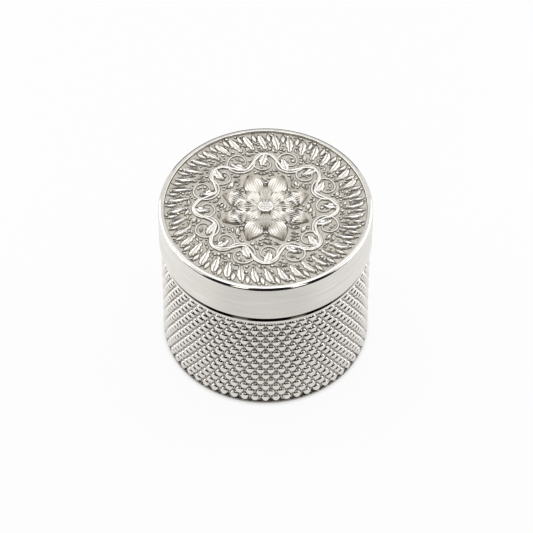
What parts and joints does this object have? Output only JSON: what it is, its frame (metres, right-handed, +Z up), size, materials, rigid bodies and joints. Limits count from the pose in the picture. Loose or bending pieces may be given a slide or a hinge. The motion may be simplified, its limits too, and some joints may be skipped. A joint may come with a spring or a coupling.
{
  "type": "lidded round box",
  "caption": "Round lidded metal box with a diamond-knurled body, a smooth slip lid and a leafy lotus medallion in relief.",
  "frame": {"origin": "centre of the foot pad's underside, on the surface the box stands on", "axes": "+Z up along the box's axis, through the lid's medallion; +X to the right and +Y away from the front"},
  "size_m": [0.056, 0.056, 0.0492],
  "materials": {
    "polished_silver": "polished silver, darker in the grooves of the knurl",
    "brushed_silver": "satin silver, turned round the axis",
    "cast_silver": "matt silver ground with polished raised forms",
    "velvet": "dark short-pile velvet",
    "felt": "dark pressed felt",
    "seat_leather": "thin dark leather"
  },
  "bodies": {
    "base": {"body_shell": "polished_silver", "base_plate": "brushed_silver", "foot_pad": "felt", "inner_cup": "brushed_silver", "floor_lining": "velvet"},
    "seat": {"seat_ring": "seat_leather"},
    "lid": {"lid_band": "brushed_silver", "relief_medallion": "cast_silver", "lid_back_plate": "brushed_silver", "lid_lining": "velvet"}
  },
  "joints": [
    {"name": "lid_turn", "type": "hinge", "parent": "base", "child": "seat", "pos_m": [0, 0, 0.0366], "axis": [0, 0, 1], "continuous": true},
    {"name": "lid_lift", "type": "slide", "parent": "seat", "child": "lid", "axis": [0, 0, 1], "range_m": [0, 0.05]}
  ]
}
